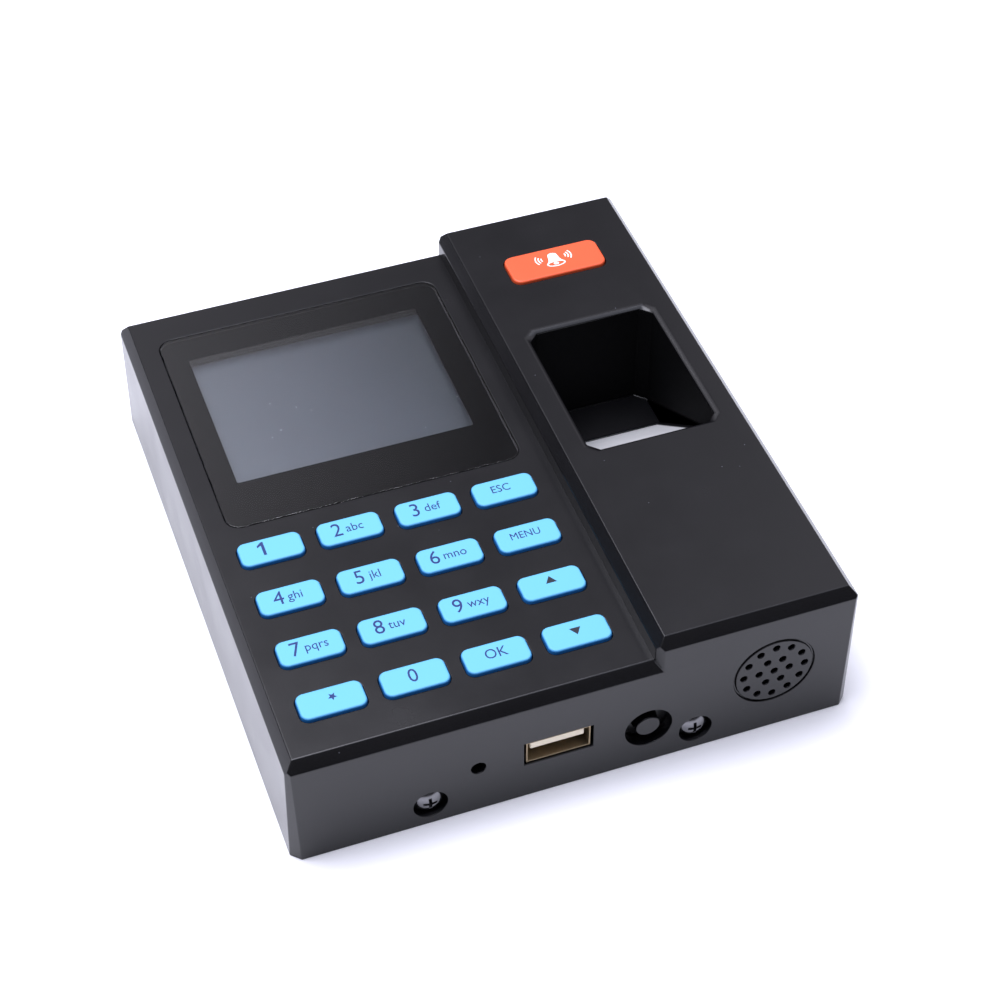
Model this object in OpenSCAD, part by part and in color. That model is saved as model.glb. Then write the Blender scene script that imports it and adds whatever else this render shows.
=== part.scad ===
// Wall-mounted fingerprint terminal: keypad and colour display on a low deck,
// finger well and call-bell button on a raised block, sockets in the lower edge.
// X runs from left to right, Y from the lower edge to the upper edge, Z up from the wall side.

/* [Case] */
// Width of the case at its base
case_w = 116; // [108:0.5:150]
// Length of the case at its base
case_l = 131; // [127:0.5:170]
// Height of the deck that carries the keys and the display
deck_h = 27.7; // [25:0.1:36]
// Height of the reader block above the deck
block_rise = 5.8; // [3:0.1:10]
// Width of the reader block, measured from the right side
block_w = 42.4; // [38:0.1:48]
// Wall thickness of the case
wall = 2.2; // [1.8:0.1:2.8]
// Width of the chamfer along the top edges
edge_w = 1.8; // [0.8:0.1:2]
// Height of the chamfer along the top edges
edge_h = 2.4; // [0.8:0.1:3]
// Chamfer on the upright corners
corner_cut = 1.9; // [0.5:0.1:3]
// How far the sides lean in between the base and the deck
draft = 0.5; // [0.1:0.1:1]

/* [Keypad] */
// Width of a key
key_w = 13; // [9:0.1:14.4]
// Length of a key
key_l = 6.5; // [5:0.1:10]
// Corner radius of a key
key_r = 1.7; // [0.5:0.1:2.4]
// Distance between key columns
key_pitch_x = 16.3; // [15.8:0.1:17]
// Distance between key rows
key_pitch_y = 13.6; // [12:0.1:14]
// Left side of the case to the first key column
key_x = 13.1; // [11.5:0.1:15]
// Lower edge of the case to the first key row
key_y = 12.9; // [12:0.1:14]
// How far a key stands above the deck
key_proud = 0.8; // [0.2:0.1:2]
// How far a key travels
key_travel = 0.8; // [0.3:0.1:1.2]

/* [Display] */
// Width of the display lens
lens_w = 62.2; // [60:0.1:63]
// Length of the display lens
lens_l = 59; // [52:0.1:60]
// Thickness of the display lens
lens_t = 1.6; // [1:0.1:2]
// Left side of the case to the middle of the lens
lens_x = 37.9; // [36.5:0.1:39]
// Lower edge of the case to the middle of the lens
lens_y = 91.6; // [90:0.1:93]
// Width of the clear window
window_w = 50.9; // [40:0.1:54]
// Length of the clear window
window_l = 39.3; // [30:0.1:40]
// Middle of the lens to the middle of the window
window_dy = 3.1; // [0:0.1:4]

/* [Bell button] */
// Width of the bell button
bell_w = 21.5; // [14:0.1:24]
// Length of the bell button
bell_l = 8.9; // [7:0.1:12]
// Right side of the case to the middle of the bell button
bell_x = 21.5; // [20:0.1:22]
// Lower edge of the case to the middle of the bell button
bell_y = 111; // [109:0.1:113]
// How far the bell button stands above the block
bell_proud = 0.6; // [0.2:0.1:1.5]
// How far the bell button travels
bell_travel = 0.4; // [0.2:0.05:0.6]

/* [Finger well] */
// Inner width of the well
well_w = 28; // [22:0.1:30]
// Lower edge of the case to the near wall of the well
well_y0 = 53.7; // [52:0.1:56]
// Lower edge of the case to the far wall of the well
well_y1 = 91.1; // [88:0.1:93]
// Right side of the case to the middle of the well
well_x = 21.3; // [20:0.1:22]
// Chamfer across the corners of the well
well_cut = 2.2; // [0.5:0.1:4]
// Width of the sloping lip around the mouth
lip_w = 1.2; // [0.4:0.1:1.6]
// Height of the flat floor of the well
floor_z = 7.6; // [7.4:0.1:10]
// Length of the flat floor, from the far wall
floor_l = 10.2; // [6:0.1:12]
// Angle of the sensor glass
ramp_angle = 40; // [30:1:45]
// Length of the sensor glass along the slope
glass_l = 28; // [18:0.1:28]

/* [Lower edge] */
// Left side of the case to the middle of the USB socket
usb_x = 53.9; // [50:0.1:56]
// Height of the middle of the USB socket
usb_z = 12.4; // [12:0.1:14]
// Left side of the case to the power button
power_x = 72.5; // [71:0.1:73]
// Height of the power button
power_z = 10; // [10:0.1:11]
// Radius of the power button
power_r = 2.5; // [2:0.1:3.5]
// Radius of the hole around the power button
power_hole_r = 4.9; // [4:0.1:5]
// Left side of the case to the reset hole
reset_x = 37.6; // [34:0.1:42]
// Radius of the reset hole
reset_r = 1.5; // [1.2:0.1:1.8]
// Left side of the case to the first bracket screw
screw_x = 27.85; // [26:0.05:28]
// Distance between the two bracket screws
screw_pitch = 54.7; // [54.5:0.1:58]
// Height of the bracket screws
screw_z = 5.6; // [5.4:0.1:6]
// Right side of the case to the middle of the speaker
speaker_x = 17.4; // [16:0.1:18]
// Height of the middle of the speaker
speaker_z = 16.5; // [15:0.1:17.5]

/* [Wall bracket] */
// Thickness of the bracket plate
bracket_t = 1.2; // [1:0.1:1.5]
// Width of the bracket plate
bracket_w = 72; // [70:0.5:80]
// Wall screw spacing across the bracket
wall_hole_dx = 60; // [50:0.5:60.5]
// Wall screw spacing along the bracket
wall_hole_dy = 83.5; // [70:0.5:90]
// Radius of the wall screw holes
wall_hole_r = 2.25; // [1.8:0.05:2.6]

/* [Hidden] */
$fn = 48;

// Clearances
slide_gap = 0.2;
fit_gap = 0.25;
press_gap = 0.1;
thin = 0.01;
past = 1;

// Case faces and the inside of its walls
x_left = -case_w / 2;
x_right = case_w / 2;
y_front = -case_l / 2;
y_rear = case_l / 2;
in_left = x_left + wall + draft;
in_right = x_right - wall - draft;
in_front = y_front + wall + draft;
in_rear = y_rear - wall - draft;
block_left = x_right - block_w;
block_top = deck_h + block_rise;
deck_under = deck_h - wall;
block_under = block_top - wall;

// Keypad
key_opening_gap = 0.15;
key_flange = 0.6;
key_flange_t = 0.8;
key_flange_top = deck_under - press_gap;
board_t = 1.6;
keypad_board_top = deck_under - 3.9;
mat_t = 1.6;
plunger_w = 6;
plunger_l = 3;
last_col = 3;
last_row = 3;
keypad_mid = [x_left + key_x + 1.5 * key_pitch_x, y_front + key_y + 1.5 * key_pitch_y];
keypad_board_w = 3 * key_pitch_x + key_w + 4;
keypad_board_l = 3 * key_pitch_y + key_l + 2;

// Display stack, from the lens down
lens_mid = [x_left + lens_x, y_front + lens_y];
window_mid = [lens_mid[0], lens_mid[1] + window_dy];
lens_r = 3;
lens_gap = 0.15;
tape_t = 0.15;
seat_t = 1.2;
seat_rim = 1;
seat_top = deck_h - lens_t - tape_t;
seat_under = seat_top - seat_t;
gasket_t = 0.9;
panel_w = window_w + 9.4;
panel_l = window_l + 3.4;
panel_t = 2.2;
panel_top = seat_under - gasket_t;
tray_wall = 0.8;
tray_floor = 0.8;
tray_bottom = panel_top - panel_t - tray_floor;

// Main board and its posts
usb_h = 5.7;
usb_w = 13.15;
usb_l = 18;
main_top = usb_z - usb_h / 2 - fit_gap;
main_bottom = main_top - board_t;
post_r = 2.2;
post_shoulder_r = 3.2;
post_hole_r = 1;
front_posts = [for (i = [-1, 1]) [keypad_mid[0] + i * key_pitch_x, keypad_mid[1]]];
rear_post_y = in_rear - 3.3;
rear_posts = [[in_left + 16, rear_post_y], [in_left + 60, rear_post_y]];
bell_mid = [x_right - bell_x, y_front + bell_y];
bell_post_dx = bell_w / 2 + 4.5;
bell_posts = [for (i = [-1, 1]) [bell_mid[0] + i * bell_post_dx, bell_mid[1]]];

// Rear cover, its screws and the posts they go into
cover_bottom = 2;
cover_t = 2;
cover_top = cover_bottom + cover_t;
cover_boss_h = 2;
cover_post_r = 2.6;
cover_boss_r = 3.4;
cover_post_bottom = cover_top + cover_boss_h;
cover_posts = [[in_left + 3.5, in_front + 2.4], [in_left + 3.5, in_rear - 3],
    [in_right - 3.5, in_rear - 3], [in_right - 3.5, in_front + 12.3]];
small_head_r = 2;
small_head_h = 1.5;
small_shank_r = 1;
small_hole_r = 1.2;
small_screw_l = 5;

// Finger well and sensor
well_mid_x = x_right - well_x;
well_near = y_front + well_y0;
well_far = y_front + well_y1;
lip_h = 0.8;
sleeve_t = 1.8;
sleeve_bottom = floor_z + press_gap;
plate_t = 1.7;
plate_bottom = floor_z - plate_t;
ramp_foot = well_far - floor_l;
ramp_margin = 0.8;
ramp_l = glass_l + 2 * ramp_margin;
glass_t = 3;
glass_down = 0.3;
cheek_w = 1.2;
glass_w = well_w - 2 * fit_gap - 2 * cheek_w;
cavity_rim = 1.5;
holder_ear = 7;
holder_posts = [[well_mid_x, well_near - sleeve_t - holder_ear / 2],
    [well_mid_x, well_far + sleeve_t + holder_ear / 2]];

// Power button, reset switch, bracket screws
power_mid_x = x_left + power_x;
power_face = y_front + draft;
power_flange_r = power_hole_r + 0.5;
power_flange_t = 1;
power_travel = 0.4;
power_arm_z = main_top + 2.4;
power_arm_r = 1.6;
power_switch_y = in_front + 12;
switch_w = 6;
switch_d = 3.6;
switch_h = 5.6;
stem_l = 1.6;
stem_r = 1.2;
reset_mid_x = x_left + reset_x;
reset_travel = 0.25;
reset_switch_y = in_front + 5.2;
reset_z = main_top + 3.05;
bore_gap = 0.15;
screw_boss_r = 4.2;
screw_boss_back = in_front + 1.9;
screw_sink = 2.4;
screw_seat = y_front + screw_sink;
screw_seat_r = 3.45;
screw_hole_r = 1.7;
screw_shank_r = 1.45;
screw_head_r = 2.85;
screw_head_h = 2.2;
screw_xs = [x_left + screw_x, x_left + screw_x + screw_pitch];
bracket_mid_x = x_left + screw_x + screw_pitch / 2;
tab_y = screw_boss_back + fit_gap;
tab_w = 8;
tab_h = screw_z + 4.5;
bracket_hole_r = 1.5;

// Speaker
speaker_mid_x = x_right - speaker_x;
speaker_r = 9.9;
speaker_d = 3.4;
grille_r = 8.6;
grille_hole_r = 0.75;
grille_rings = [[0, 1], [3.2, 6], [6.45, 12]];
groove_w = 0.5;

// Rear cable window, hooks and wiring
cable_window = [46, 20];
cable_from_front = 88.5;
cable_mid = [bracket_mid_x, y_front + cable_from_front];
hook_w = 10;
hook_dx = 24;
hook_from_front = 115.5;
hook_y = y_front + hook_from_front;
hook_reach = 3;

// ---------- shared shapes ----------

// Rectangle outline with its corners cut off at 45 degrees
function cut_rect(x0, x1, y0, y1, c) = [[x0 + c, y0], [x1 - c, y0], [x1, y0 + c], [x1, y1 - c],
    [x1 - c, y1], [x0 + c, y1], [x0, y1 - c], [x0, y0 + c]];

// How far the outside leans in at a height
function lean(z) = draft * z / deck_h;

// Point on the sensor slope: s runs up it from its foot, n stands off it
function ramp_point(s, n) = [ramp_foot - s * cos(ramp_angle) + n * sin(ramp_angle),
    floor_z + s * sin(ramp_angle) + n * cos(ramp_angle)];

module rounded_plate(w, l, h, r) {
    linear_extrude(h) {
        square([w - 2 * r, l], center = true);
        square([w, l - 2 * r], center = true);
        for (i = [-1, 1], j = [-1, 1])
            translate([i * (w / 2 - r), j * (l / 2 - r)]) circle(r);
    }
}

module at(xy, z) {
    translate([xy[0], xy[1], z]) children();
}

// Box from one corner to the other
module block(low, high) {
    translate(low) cube(high - low);
}

// Side profile of Y and Z points, pulled along X
module side_prism(points, x0, x1) {
    translate([x0, 0, 0]) rotate([90, 0, 90]) linear_extrude(x1 - x0) polygon(points);
}

// Cylinder lying along Y
module rod_y(x, z, y0, y1, r) {
    translate([x, y0, z]) rotate([-90, 0, 0]) cylinder(h = y1 - y0, r = r);
}

// Solid with leaning sides, chamfered top edges and chamfered upright corners
module tapered_body(x0, x0_leans, top) {
    side_z = top - edge_h;
    a = lean(side_z);
    a0 = x0_leans ? a : 0;
    intersection() {
        translate([0, y_rear + past, 0]) rotate([90, 0, 0]) linear_extrude(case_l + 2 * past)
            polygon([[x0, 0], [x_right, 0], [x_right - a, side_z], [x_right - a - edge_w, top],
                [x0 + a0 + edge_w, top], [x0 + a0, side_z]]);
        side_prism([[y_front, 0], [y_rear, 0], [y_rear - a, side_z],
            [y_rear - a - edge_w, top], [y_front + a + edge_w, top], [y_front + a, side_z]],
            x0 - past, x_right + past);
        translate([0, 0, -past]) linear_extrude(top + 2 * past)
            polygon(cut_rect(x0, x_right, y_front, y_rear, corner_cut));
    }
}

module key_place(col, row, z) {
    x = x_left + key_x + col * key_pitch_x;
    y = y_front + key_y + (last_row - row) * key_pitch_y;
    translate([x, y, z]) children();
}

module every_key(z) {
    for (col = [0 : last_col], row = [0 : last_row]) key_place(col, row, z) children();
}

module small_screw(xy, seat, head_r = small_head_r) {
    at(xy, seat - small_head_h) difference() {
        cylinder(h = small_head_h, r = head_r);
        translate([0, 0, -past]) for (turn = [0, 90]) rotate(turn)
            translate([-1.1, -0.25, 0]) cube([2.2, 0.5, past + 0.7]);
    }
    at(xy, seat) cylinder(h = small_screw_l, r = small_shank_r);
}

// ---------- case ----------

module case_hollow() {
    block([in_left, in_front, -past], [in_right, in_rear, deck_under]);
    block([block_left + wall, in_front, -past], [in_right, in_rear, block_under]);
}

module well_shaft(z0, z1, grow) {
    half = well_w / 2 + grow;
    outline = cut_rect(well_mid_x - half, well_mid_x + half, well_near - grow,
        well_far + grow, well_cut);
    translate([0, 0, z0]) linear_extrude(z1 - z0) polygon(outline);
}

module well_lip() {
    hull() {
        well_shaft(block_top - lip_h, block_top - lip_h + thin, 0);
        well_shaft(block_top + thin, block_top + 2 * thin, lip_w);
    }
}

module post(xy, z0, z1, r) {
    at(xy, z0) difference() {
        cylinder(h = z1 - z0 + thin, r = r);
        translate([0, 0, -past]) cylinder(h = small_screw_l + past + 1, r = post_hole_r);
    }
}

module case_posts() {
    for (p = cover_posts) {
        top = p[0] > block_left ? block_under : deck_under;
        post(p, cover_post_bottom, top, cover_post_r);
    }
    for (p = front_posts) {
        post(p, main_top, deck_under, post_r);
        at(p, keypad_board_top) cylinder(h = deck_under - keypad_board_top, r = post_shoulder_r);
    }
    for (p = rear_posts) post(p, main_top, deck_under, post_r);
    for (p = bell_posts) post(p, bell_board_top, block_under, post_r);
    for (p = holder_posts) post(p, sleeve_bottom, block_under, post_r);
}

module lower_edge_cuts() {
    for (x = screw_xs) {
        rod_y(x, screw_z, y_front - past, screw_seat, screw_seat_r);
        rod_y(x, screw_z, y_front, screw_boss_back + past, screw_hole_r);
    }
    block([x_left + usb_x - usb_w / 2 - 0.5, y_front - past, usb_z - usb_h / 2 - 0.2],
        [x_left + usb_x + usb_w / 2 + 0.5, in_front + past, usb_z + usb_h / 2 + 0.2]);
    rod_y(power_mid_x, power_z, y_front - past, in_front + past, power_hole_r);
    rod_y(reset_mid_x, reset_z, y_front - past, in_front + past, reset_r);
    difference() {
        rod_y(speaker_mid_x, speaker_z, y_front - past, y_front + draft + 0.4, grille_r);
        rod_y(speaker_mid_x, speaker_z, y_front - past, y_front + past + draft,
            grille_r - groove_w);
    }
    for (ring = grille_rings, i = [1 : ring[1]]) {
        turn = i * 360 / ring[1];
        rod_y(speaker_mid_x + ring[0] * cos(turn), speaker_z + ring[0] * sin(turn),
            y_front - past, in_front + past, grille_hole_r);
    }
}

module deck_cuts() {
    every_key(deck_under - past)
        rounded_plate(key_w + 2 * key_opening_gap, key_l + 2 * key_opening_gap,
            wall + 2 * past, key_r + key_opening_gap);
    at(lens_mid, seat_top)
        rounded_plate(lens_w + 2 * lens_gap, lens_l + 2 * lens_gap, lens_t + past,
            lens_r + lens_gap);
    at(window_mid, seat_under - past)
        rounded_plate(window_w + 2 * seat_rim, window_l + 2 * seat_rim, seat_t + 2 * past, 1);
}

module front_housing() {
    color("#2b2b2e") difference() {
        union() {
            difference() {
                union() {
                    tapered_body(x_left, true, deck_h);
                    tapered_body(block_left, false, block_top);
                }
                case_hollow();
            }
            at(lens_mid, seat_under)
                rounded_plate(lens_w + 2, lens_l + 2, deck_under - seat_under + past, lens_r);
            well_shaft(sleeve_bottom, block_under + thin, sleeve_t);
            case_posts();
            for (x = screw_xs)
                rod_y(x, screw_z, in_front - thin, screw_boss_back, screw_boss_r);
        }
        well_shaft(-past, block_top + past, 0);
        well_lip();
        deck_cuts();
        lower_edge_cuts();
        at(bell_mid, block_under - past)
            rounded_plate(bell_w + 2 * slide_gap, bell_l + 2 * slide_gap, wall + 2 * past,
                bell_r + slide_gap);
    }
}

module rear_cover() {
    color("#232326") difference() {
        union() {
            block([in_left + fit_gap, in_front + fit_gap, cover_bottom],
                [in_right - fit_gap, in_rear - fit_gap, cover_top]);
            for (p = cover_posts)
                at(p, cover_bottom) intersection() {
                    cylinder(h = cover_t + cover_boss_h, r = cover_boss_r);
                    translate([in_left + fit_gap - p[0], in_front + fit_gap - p[1], 0])
                        cube([in_right - in_left - 2 * fit_gap,
                            in_rear - in_front - 2 * fit_gap, cover_post_bottom]);
                }
        }
        for (p = cover_posts) {
            at(p, cover_bottom - past)
                cylinder(h = past + small_head_h + press_gap, r = small_head_r + 0.3);
            at(p, cover_bottom) cylinder(h = cover_t + cover_boss_h + past, r = small_hole_r);
        }
        for (x = screw_xs)
            block([x - screw_boss_r - 0.4, in_front, cover_bottom - past],
                [x + screw_boss_r + 0.4, tab_y + bracket_t + fit_gap, cover_top + past]);
        for (i = [-1, 1])
            block([bracket_mid_x + i * hook_dx - hook_w / 2 - 0.3,
                    hook_y + bracket_t + 0.3 - 3.9, cover_bottom - past],
                [bracket_mid_x + i * hook_dx + hook_w / 2 + 0.3,
                    hook_y + bracket_t + 0.3, cover_top + past]);
        at(cable_mid, cover_bottom - past)
            rounded_plate(cable_window[0], cable_window[1], cover_t + 2 * past, 2);
    }
}

module wall_bracket() {
    plate_l = case_l - 12;
    color("#b9bcc0") difference() {
        union() {
            translate([bracket_mid_x, tab_y + plate_l / 2, 0])
                rounded_plate(bracket_w, plate_l, bracket_t, 2);
            for (x = screw_xs)
                block([x - tab_w / 2, tab_y, 0], [x + tab_w / 2, tab_y + bracket_t, tab_h]);
            for (i = [-1, 1])
                translate([bracket_mid_x + i * hook_dx - hook_w / 2, hook_y, 0]) {
                    cube([hook_w, bracket_t, cover_top + 1.3]);
                    translate([0, 0, cover_top + 0.2]) cube([hook_w, hook_reach, 1.1]);
                }
        }
        for (x = screw_xs)
            rod_y(x, screw_z, tab_y - past, tab_y + bracket_t + past, bracket_hole_r);
        for (i = [-1, 1], j = [-1, 1])
            translate([bracket_mid_x + i * wall_hole_dx / 2, j * wall_hole_dy / 2, -past])
                cylinder(h = bracket_t + 2 * past, r = wall_hole_r);
        at(cable_mid, -past)
            rounded_plate(cable_window[0] + 2, cable_window[1] + 4, bracket_t + 2 * past, 3);
    }
}

// ---------- fasteners ----------

module bracket_screws() {
    dome_r = 4.4;
    rim_h = 0.9;
    color("#c9ccd0") for (x = screw_xs) difference() {
        union() {
            rod_y(x, screw_z, screw_seat, tab_y + bracket_t + 2, screw_shank_r);
            intersection() {
                rod_y(x, screw_z, screw_seat - screw_head_h, screw_seat, screw_head_r);
                translate([x, screw_seat - screw_head_h + dome_r, screw_z])
                    rotate([-90, 0, 0]) sphere(dome_r);
            }
            rod_y(x, screw_z, screw_seat - rim_h, screw_seat, screw_head_r);
        }
        for (turn = [0, 90])
            translate([x, screw_seat - screw_head_h - past, screw_z]) rotate([0, turn, 0])
                translate([-1.4, 0, -0.3]) cube([2.8, past + 1.3, 0.6]);
    }
}

module cover_screws() {
    color("#8d9094") for (p = cover_posts)
        small_screw(p, cover_bottom + small_head_h + press_gap);
}

module board_screws() {
    color("#b4b7ba") {
        for (p = concat(front_posts, rear_posts)) small_screw(p, main_bottom);
        for (p = bell_posts) small_screw(p, bell_board_top - board_t);
        for (p = holder_posts) small_screw(p, plate_bottom);
    }
}

// ---------- display ----------

module display_lens() {
    color("#101114") at(lens_mid, seat_top + tape_t) rounded_plate(lens_w, lens_l, lens_t, lens_r);
}

module lens_tape() {
    color("#303034") difference() {
        at(lens_mid, seat_top) rounded_plate(lens_w - 0.6, lens_l - 0.6, tape_t, lens_r);
        at(window_mid, seat_top - past)
            rounded_plate(window_w + 2 * seat_rim, window_l + 2 * seat_rim, 3, 1);
    }
}

module display_gasket() {
    color("#1f1f22") difference() {
        at(window_mid, panel_top) rounded_plate(panel_w - 1, panel_l - 0.2, gasket_t, 1);
        at(window_mid, panel_top - past)
            rounded_plate(window_w + 0.6, window_l + 0.6, gasket_t + 2 * past, 0.6);
    }
}

module lcd_panel() {
    color("#50565c") at(window_mid, panel_top - panel_t)
        rounded_plate(panel_w, panel_l, panel_t, 0.4);
}

module lcd_frame() {
    w = panel_w + 2 * (press_gap + tray_wall);
    l = panel_l + 2 * (press_gap + tray_wall);
    color("#c4c7ca") difference() {
        at(window_mid, tray_bottom) rounded_plate(w, l, tray_floor + panel_t - 0.5, 0.8);
        at(window_mid, tray_bottom + tray_floor)
            rounded_plate(panel_w + 2 * press_gap, panel_l + 2 * press_gap, panel_t, 0.5);
    }
}

module lcd_flex() {
    t = 0.3;
    near = window_mid[1] - panel_l / 2 - press_gap - tray_wall;
    out = near - 3.5;
    color("#b5762c") side_prism([[near + 6, tray_bottom - t], [near + 6, tray_bottom],
            [out, tray_bottom], [out - 1, tray_bottom - 1], [out - 1, main_top + 1],
            [out, main_top], [near + 6, main_top], [near + 6, main_top + t],
            [out + t, main_top + t], [out - 1 + t, main_top + 1 + t],
            [out - 1 + t, tray_bottom - 1 - t], [out + t, tray_bottom - t]],
        window_mid[0] - 12, window_mid[0] + 12);
}

// ---------- keypad ----------

module key_cap(col, row) {
    plunger_bottom = keypad_board_top + key_travel + 0.15;
    flange_bottom = key_flange_top - key_flange_t;
    color("#5fd0f2") key_place(col, row, 0) {
        translate([0, 0, key_flange_top - thin])
            rounded_plate(key_w, key_l, deck_h + key_proud - key_flange_top + thin, key_r);
        translate([0, 0, flange_bottom])
            rounded_plate(key_w + 2 * key_flange, key_l + 2 * key_flange, key_flange_t, key_r);
        translate([0, 0, plunger_bottom])
            rounded_plate(plunger_w, plunger_l, flange_bottom - plunger_bottom + thin, 0.8);
    }
}

module keypad_mat() {
    color("#d9dde0") difference() {
        at(keypad_mid, keypad_board_top)
            rounded_plate(keypad_board_w - 0.6, keypad_board_l - 0.6, mat_t, 2);
        every_key(keypad_board_top - past)
            rounded_plate(plunger_w + 1, plunger_l + 1, mat_t + 2 * past, 1.2);
        for (p = front_posts)
            at(p, keypad_board_top - past)
                cylinder(h = mat_t + 2 * past, r = post_shoulder_r + fit_gap);
    }
}

module keypad_board() {
    color("#1f6b43") difference() {
        at(keypad_mid, keypad_board_top - board_t)
            rounded_plate(keypad_board_w, keypad_board_l, board_t, 1);
        for (p = front_posts)
            at(p, keypad_board_top - board_t - past)
                cylinder(h = board_t + 2 * past, r = post_r + fit_gap);
    }
}

module board_spacers() {
    color("#e9e6dc") for (p = front_posts) at(p, main_top) difference() {
        h = keypad_board_top - board_t - main_top;
        cylinder(h = h, r = 3.6);
        translate([0, 0, -past]) cylinder(h = h + 2 * past, r = post_r + fit_gap);
    }
}

// ---------- main board ----------

main_left = in_left + 0.8;
main_right = well_mid_x - well_w / 2 - sleeve_t - 1.5;
main_front = tab_y + bracket_t + 0.6;
main_rear = in_rear - 0.8;
main_mid_z = main_top - board_t / 2;
board_notch = cover_post_r + 0.8;

module main_board() {
    color("#1d5f3c") difference() {
        block([main_left, main_front, main_bottom], [main_right, main_rear, main_top]);
        for (p = cover_posts)
            translate([p[0], p[1], main_mid_z])
                cube([2 * board_notch, 2 * board_notch, 2 * board_t], center = true);
        for (p = concat(front_posts, rear_posts))
            at(p, main_bottom - past) cylinder(h = board_t + 2 * past, r = small_hole_r);
        block([power_mid_x - power_flange_r - 0.8, main_front - past, main_bottom - past],
            [power_mid_x + power_flange_r + 0.8, power_switch_y - 1.5, main_top + past]);
    }
}

module main_chips() {
    base = [lens_mid[0], window_mid[1], main_top];
    // Processor, memory, network chip and power regulator
    chip_corners = [[0, -6, 0], [18, -4, 0], [-21, -16, 0], [14, -18, 0]];
    chip_sizes = [[14, 14, 1.4], [8, 11, 1.1], [9, 6, 1.5], [5, 6, 1.5]];
    color("#18181a") for (i = [0 : len(chip_sizes) - 1])
        translate(base + chip_corners[i]) cube(chip_sizes[i]);
}

module capacitors() {
    color("#33415c") for (p = [[-6, 2], [5, 2], [-20, 2]])
        translate([keypad_mid[0] + p[0], keypad_mid[1] + key_pitch_y + p[1], main_top])
            cylinder(h = 7.5, r = 4);
}

cell_mid = [lens_mid[0] - 15, window_mid[1] + 10];
cell_r = 10;
cell_h = 3.2;
cell_lift = 0.8;

module cell_holder() {
    color("#26262a") difference() {
        at(cell_mid, main_top) rounded_plate(23, 16, 3.6, 1);
        at(cell_mid, main_top + cell_lift) cylinder(h = 5, r = cell_r + 0.2);
    }
}

module coin_cell() {
    color("#c8cacc") at(cell_mid, main_top + cell_lift) cylinder(h = cell_h, r = cell_r);
}

header_xs = [-15, -3.5, 8];
header_ws = [8, 10, 8];
header_l = 5;
header_h = 4.6;
header_y = cable_mid[1] + 5;

module wire_headers() {
    color("#eceae2") for (i = [0 : 2])
        translate([cable_mid[0] + header_xs[i], header_y, main_bottom - header_h])
            difference() {
                translate([-header_ws[i] / 2, -header_l / 2, 0])
                    cube([header_ws[i], header_l, header_h]);
                translate([-header_ws[i] / 2 + 0.7, -header_l / 2 + 0.7, -past])
                    cube([header_ws[i] - 1.4, header_l - 1.4, header_h - 0.8 + past]);
            }
}

module header_pins() {
    pitch = 2;
    color("#d8c27a") for (i = [0 : 2]) {
        pins = floor((header_ws[i] - 1.4) / pitch);
        for (k = [1 : pins])
            translate([cable_mid[0] + header_xs[i] + (k - (pins + 1) / 2) * pitch - 0.25,
                    header_y - 0.25, main_bottom - header_h + 1])
                cube([0.5, 0.5, header_h - 1.8]);
    }
}

// ---------- bell button ----------

bell_r = 2;
bell_flange = 0.8;
bell_flange_t = 0.9;
bell_arm_l = 2.2;
bell_flange_bottom = block_under - slide_gap - bell_flange_t;
bell_stem_top = bell_flange_bottom - bell_arm_l;
bell_board_top = bell_stem_top - stem_l - switch_d;
bell_board_gap = 0.05;
bell_board_half = in_right - bell_mid[0] - bell_board_gap;

module bell_button() {
    color("#ee4f37") at(bell_mid, 0) {
        translate([0, 0, block_under - slide_gap - thin])
            rounded_plate(bell_w, bell_l, wall + slide_gap + bell_proud + thin, bell_r);
        translate([0, 0, bell_flange_bottom])
            rounded_plate(bell_w + 2 * bell_flange, bell_l + 2 * bell_flange, bell_flange_t,
                bell_r);
        translate([0, 0, bell_stem_top]) cylinder(h = bell_arm_l + thin, r = 2);
    }
}

module bell_stem() {
    color("#e8e4da") at(bell_mid, bell_stem_top - stem_l - 1)
        cylinder(h = stem_l + 1, r = stem_r);
}

module bell_switch() {
    color("#2a2a2c") at(bell_mid, bell_board_top) difference() {
        translate([-switch_w / 2, -switch_w / 2, 0]) cube([switch_w, switch_w, switch_d]);
        translate([0, 0, switch_d - 1 - bell_travel - 0.2])
            cylinder(h = 5, r = stem_r + bore_gap);
    }
}

module bell_board() {
    color("#1f6b43") difference() {
        at(bell_mid, bell_board_top - board_t)
            rounded_plate(2 * bell_board_half, switch_w + 4, board_t, 1);
        for (p = bell_posts)
            at(p, bell_board_top - board_t - past)
                cylinder(h = board_t + 2 * past, r = small_hole_r);
    }
}

// ---------- power button and reset switch ----------

module power_button() {
    flange_y = in_front + slide_gap;
    color("#3a3b42") {
        rod_y(power_mid_x, power_z, power_face, flange_y + thin, power_r);
        rod_y(power_mid_x, power_z, flange_y, flange_y + power_flange_t, power_flange_r);
        rod_y(power_mid_x, power_arm_z, flange_y + power_flange_t - thin,
            power_switch_y - stem_l, power_arm_r);
    }
}

module side_switch(x, z, y, travel) {
    color("#2a2a2c") difference() {
        block([x - switch_w / 2, y, main_top], [x + switch_w / 2, y + switch_d,
            main_top + switch_h]);
        rod_y(x, z, y - past, y + 1 + travel + 0.2, stem_r + bore_gap);
    }
}

module power_stem() {
    color("#e8e4da")
        rod_y(power_mid_x, power_arm_z, power_switch_y - stem_l, power_switch_y + 1, stem_r);
}

module power_switch() {
    side_switch(power_mid_x, power_arm_z, power_switch_y, power_travel);
}

module reset_stem() {
    color("#e8e4da")
        rod_y(reset_mid_x, reset_z, reset_switch_y - stem_l, reset_switch_y + 1, stem_r);
}

module reset_switch() {
    side_switch(reset_mid_x, reset_z, reset_switch_y, reset_travel);
}

// ---------- USB socket ----------

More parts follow.
